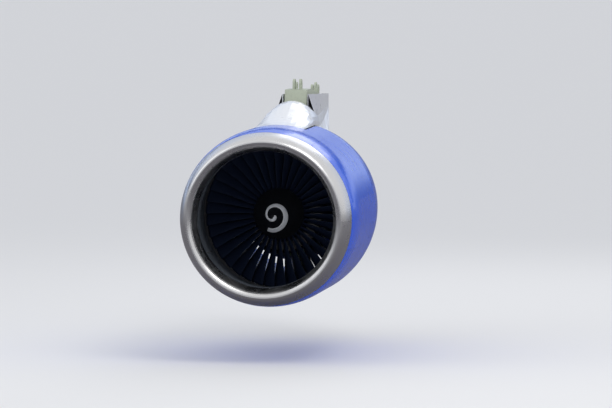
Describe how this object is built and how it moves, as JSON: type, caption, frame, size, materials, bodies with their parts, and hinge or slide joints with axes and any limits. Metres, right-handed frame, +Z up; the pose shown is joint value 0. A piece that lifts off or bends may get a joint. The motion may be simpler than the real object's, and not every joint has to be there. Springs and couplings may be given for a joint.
{
  "type": "jet engine",
  "caption": "Wing-mounted turbofan in a round cowl with polished inlet lip, spinning fan, hinged cowls and a sliding thrust reverser.",
  "frame": {"origin": "centre of the front spar lug bore on top of the pylon", "axes": "+Y runs aft along the engine axis, +Z up, +X to the right when looking aft into the inlet; the front lug bore runs along X"},
  "size_m": [2.7999, 5.886, 3.4378],
  "materials": {
    "polished_lip": "polished bare sheet",
    "blue_paint": "gloss",
    "white_paint": "gloss",
    "duct_liner": "satin, perforated",
    "structure": "satin",
    "fan_titanium": "satin",
    "spinner_black": "satin",
    "spiral_white": "satin",
    "vane_metal": "satin",
    "core_case": "satin",
    "rotor_steel": "satin",
    "hot_metal": "heat-stained",
    "accessory_grey": "cast",
    "unit_dark": "satin",
    "cascade_composite": "matte",
    "latch_steel": "satin"
  },
  "bodies": {
    "engine": {"inlet_lip": "polished_lip", "inlet_outer_barrel": "blue_paint", "inlet_inner_barrel": "duct_liner", "inlet_bulkheads": "structure", "fan_case": "structure", "fan_frame": "structure", "outlet_guide_vanes": "vane_metal", "splitter_fairing": "vane_metal", "booster_case": "core_case", "bearing_outer_rings": "rotor_steel", "compressor_case": "core_case", "combustion_case": "core_case", "fuel_nozzles": "core_case", "combustor_liner": "hot_metal", "turbine_case": "hot_metal", "turbine_rear_frame": "hot_metal", "primary_nozzle": "hot_metal", "exhaust_plug": "hot_metal", "accessory_gearbox": "accessory_grey", "starter": "accessory_grey", "generator": "unit_dark", "hydraulic_pump": "unit_dark", "oil_tank": "accessory_grey", "control_unit": "unit_dark", "cowl_support_beam": "structure", "pylon_box": "structure", "pylon_fairing": "white_paint", "pylon_aft_fairing": "white_paint", "front_engine_mount": "rotor_steel", "rear_engine_mount": "rotor_steel", "thrust_links": "rotor_steel"},
    "lp_spool": {"spinner": "spinner_black", "spinner_spiral": "spiral_white", "fan_blades": "fan_titanium", "fan_disk": "rotor_steel", "booster_rotor": "rotor_steel", "lp_shaft": "rotor_steel", "lp_bearing_rollers": "rotor_steel", "lp_turbine_rotor": "hot_metal"},
    "high_spool": {"high_compressor_rotor": "rotor_steel", "high_turbine_rotor": "hot_metal"},
    "fan_cowl_door_right": {"fan_cowl_right": "blue_paint"},
    "fan_cowl_door_left": {"fan_cowl_left": "blue_paint"},
    "latch_front": {"fan_cowl_latch_front": "latch_steel"},
    "latch_middle": {"fan_cowl_latch_middle": "latch_steel"},
    "latch_rear": {"fan_cowl_latch_rear": "latch_steel"},
    "reverser_half_right": {"reverser_frame_right": "duct_liner", "cascade_right": "cascade_composite"},
    "reverser_half_left": {"reverser_frame_left": "duct_liner", "cascade_left": "cascade_composite"},
    "reverser_sleeve_right": {"sleeve_right": "blue_paint"},
    "reverser_sleeve_left": {"sleeve_left": "blue_paint"},
    "door_right_1": {"blocker_door_right_1": "duct_liner"},
    "door_right_2": {"blocker_door_right_2": "duct_liner"},
    "door_right_3": {"blocker_door_right_3": "duct_liner"},
    "door_right_4": {"blocker_door_right_4": "duct_liner"},
    "door_left_1": {"blocker_door_left_1": "duct_liner"},
    "door_left_2": {"blocker_door_left_2": "duct_liner"},
    "door_left_3": {"blocker_door_left_3": "duct_liner"},
    "door_left_4": {"blocker_door_left_4": "duct_liner"}
  },
  "joints": [
    {"name": "lp_spool_spin", "type": "hinge", "parent": "engine", "child": "lp_spool", "pos_m": [0, -1.72, -1.96], "axis": [0, 1, 0], "continuous": true},
    {"name": "high_spool_spin", "type": "hinge", "parent": "engine", "child": "high_spool", "pos_m": [0, -0.42, -1.96], "axis": [0, 1, 0], "continuous": true},
    {"name": "fan_cowl_right_hinge", "type": "hinge", "parent": "engine", "child": "fan_cowl_door_right", "pos_m": [0.43, -1.47, -0.655], "axis": [0, 1, 0], "range_deg": [-45, 0]},
    {"name": "fan_cowl_left_hinge", "type": "hinge", "parent": "engine", "child": "fan_cowl_door_left", "pos_m": [-0.43, -1.47, -0.655], "axis": [0, 1, 0], "range_deg": [0, 45]},
    {"name": "latch_front_swing", "type": "hinge", "parent": "fan_cowl_door_right", "child": "latch_front", "pos_m": [0.088, -1.77, -3.344], "axis": [0, 1, 0], "range_deg": [-80, 0]},
    {"name": "latch_middle_swing", "type": "hinge", "parent": "fan_cowl_door_right", "child": "latch_middle", "pos_m": [0.088, -1.46, -3.344], "axis": [0, 1, 0], "range_deg": [-80, 0]},
    {"name": "latch_rear_swing", "type": "hinge", "parent": "fan_cowl_door_right", "child": "latch_rear", "pos_m": [0.088, -1.12, -3.344], "axis": [0, 1, 0], "range_deg": [-80, 0]},
    {"name": "reverser_right_hinge", "type": "hinge", "parent": "engine", "child": "reverser_half_right", "pos_m": [0.43, -0.655, -0.698], "axis": [0, 1, 0], "range_deg": [-38, 0]},
    {"name": "sleeve_right_slide", "type": "slide", "parent": "reverser_half_right", "child": "reverser_sleeve_right", "axis": [0, 1, 0], "range_m": [0, 0.56]},
    {"name": "reverser_left_hinge", "type": "hinge", "parent": "engine", "child": "reverser_half_left", "pos_m": [-0.43, -0.655, -0.698], "axis": [0, 1, 0], "range_deg": [0, 38]},
    {"name": "sleeve_left_slide", "type": "slide", "parent": "reverser_half_left", "child": "reverser_sleeve_left", "axis": [0, 1, 0], "range_m": [0, 0.56]},
    {"name": "blocker_door_right_1_hinge", "type": "hinge", "parent": "reverser_sleeve_right", "child": "door_right_1", "pos_m": [0.79355, -0.74, -1.0709], "axis": [-0.7461, 0, 0.6659], "range_deg": [0, 60]},
    {"name": "blocker_door_right_2_hinge", "type": "hinge", "parent": "reverser_sleeve_right", "child": "door_right_2", "pos_m": [1.17452, -0.74, -1.75818], "axis": [-0.1693, 0, 0.9856], "range_deg": [0, 60]},
    {"name": "blocker_door_right_3_hinge", "type": "hinge", "parent": "reverser_sleeve_right", "child": "door_right_3", "pos_m": [1.04482, -0.74, -2.53321], "axis": [0.481, 0, 0.8767], "range_deg": [0, 60]},
    {"name": "blocker_door_right_4_hinge", "type": "hinge", "parent": "reverser_sleeve_right", "child": "door_right_4", "pos_m": [0.46085, -0.74, -3.05901], "axis": [0.9222, 0, 0.3867], "range_deg": [0, 60]},
    {"name": "blocker_door_left_1_hinge", "type": "hinge", "parent": "reverser_sleeve_left", "child": "door_left_1", "pos_m": [-0.79355, -0.74, -1.0709], "axis": [-0.7461, 0, -0.6659], "range_deg": [0, 60]},
    {"name": "blocker_door_left_2_hinge", "type": "hinge", "parent": "reverser_sleeve_left", "child": "door_left_2", "pos_m": [-1.17452, -0.74, -1.75818], "axis": [-0.1693, 0, -0.9856], "range_deg": [0, 60]},
    {"name": "blocker_door_left_3_hinge", "type": "hinge", "parent": "reverser_sleeve_left", "child": "door_left_3", "pos_m": [-1.04482, -0.74, -2.53321], "axis": [0.481, 0, -0.8767], "range_deg": [0, 60]},
    {"name": "blocker_door_left_4_hinge", "type": "hinge", "parent": "reverser_sleeve_left", "child": "door_left_4", "pos_m": [-0.46085, -0.74, -3.05901], "axis": [0.9222, 0, -0.3867], "range_deg": [0, 60]}
  ],
  "couplings": [
    {"joint": "blocker_door_right_1_hinge", "follows": "sleeve_right_slide", "rad_per_m": 1.8699},
    {"joint": "blocker_door_right_2_hinge", "follows": "sleeve_right_slide", "rad_per_m": 1.8699},
    {"joint": "blocker_door_right_3_hinge", "follows": "sleeve_right_slide", "rad_per_m": 1.8699},
    {"joint": "blocker_door_right_4_hinge", "follows": "sleeve_right_slide", "rad_per_m": 1.8699},
    {"joint": "blocker_door_left_1_hinge", "follows": "sleeve_left_slide", "rad_per_m": 1.8699},
    {"joint": "blocker_door_left_2_hinge", "follows": "sleeve_left_slide", "rad_per_m": 1.8699},
    {"joint": "blocker_door_left_3_hinge", "follows": "sleeve_left_slide", "rad_per_m": 1.8699},
    {"joint": "blocker_door_left_4_hinge", "follows": "sleeve_left_slide", "rad_per_m": 1.8699}
  ]
}
